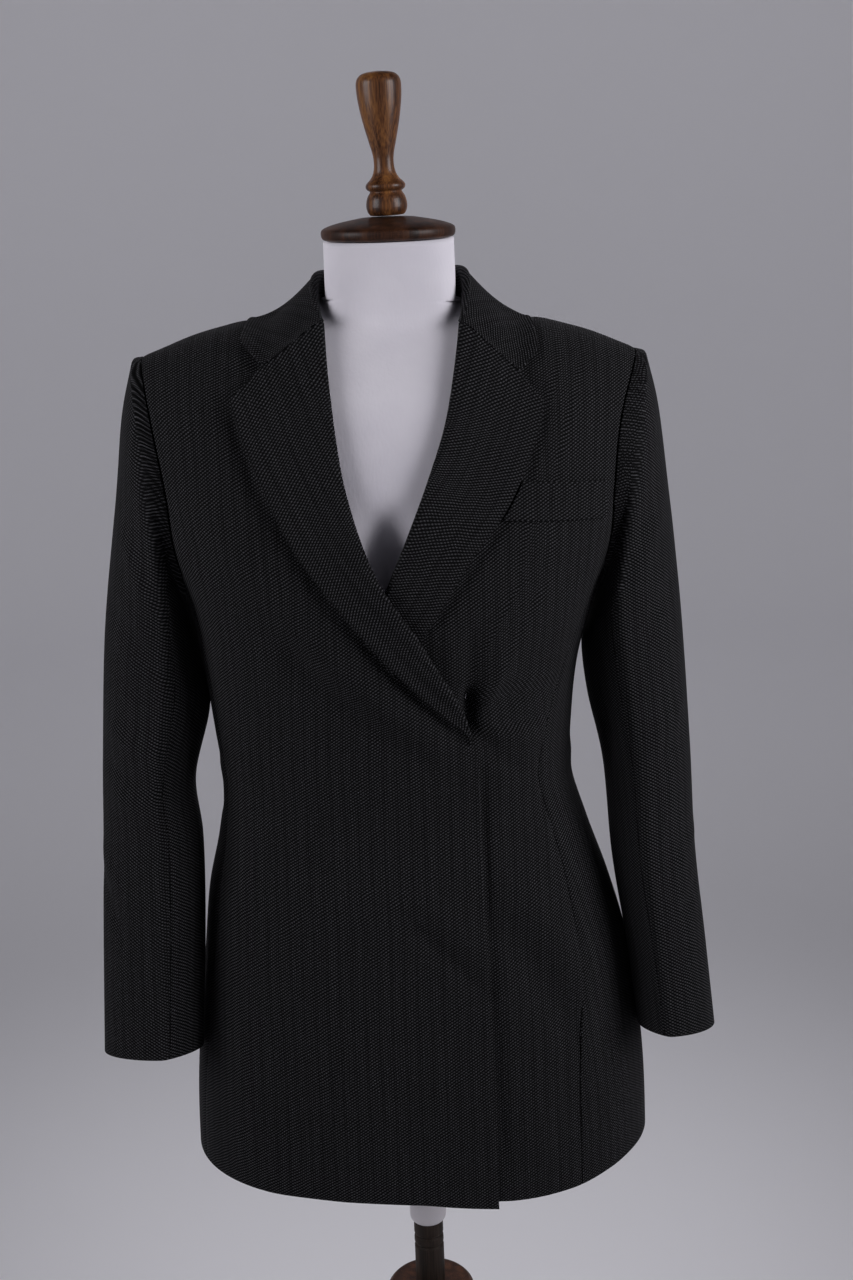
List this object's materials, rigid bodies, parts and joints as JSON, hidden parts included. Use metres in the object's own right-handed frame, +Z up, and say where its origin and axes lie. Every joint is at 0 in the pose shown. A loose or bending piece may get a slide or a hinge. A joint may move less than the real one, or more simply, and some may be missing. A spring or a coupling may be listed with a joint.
{
  "type": "double-breasted blazer on a dress form",
  "caption": "Long-sleeved wrap-over double-breasted blazer with notched lapels and a breast welt, standing filled out on a limbless dress form with a turned wooden pole stand.",
  "frame": {"origin": "on the floor, at the centre of the stand base's underside, on the axis of the pole", "axes": "+Z up along the pole, -Y towards the front of the blazer, +X towards the wearer's left side"},
  "size_m": [0.548, 0.35, 1.5128],
  "materials": {
    "suiting": "matte black and grey pinhead worsted",
    "jersey": "matte white stretch jersey",
    "socket": "satin white",
    "dark_wood": "glossy dark brown varnish",
    "pole_wood": "satin brown"
  },
  "bodies": {
    "root": {"front_right": "suiting", "front_left": "suiting", "back_right": "suiting", "back_left": "suiting", "side_panel_right": "suiting", "side_panel_left": "suiting", "lapel_right": "suiting", "lapel_left": "suiting", "collar": "suiting", "breast_welt": "suiting", "top_sleeve_right": "suiting", "top_sleeve_left": "suiting", "under_sleeve_right": "suiting", "under_sleeve_left": "suiting", "form_torso": "jersey", "pole_socket": "socket", "neck_cap": "dark_wood", "finial": "dark_wood", "pole": "pole_wood", "stand_hub": "dark_wood", "stand_post": "dark_wood", "stand_base": "dark_wood"}
  },
  "joints": []
}
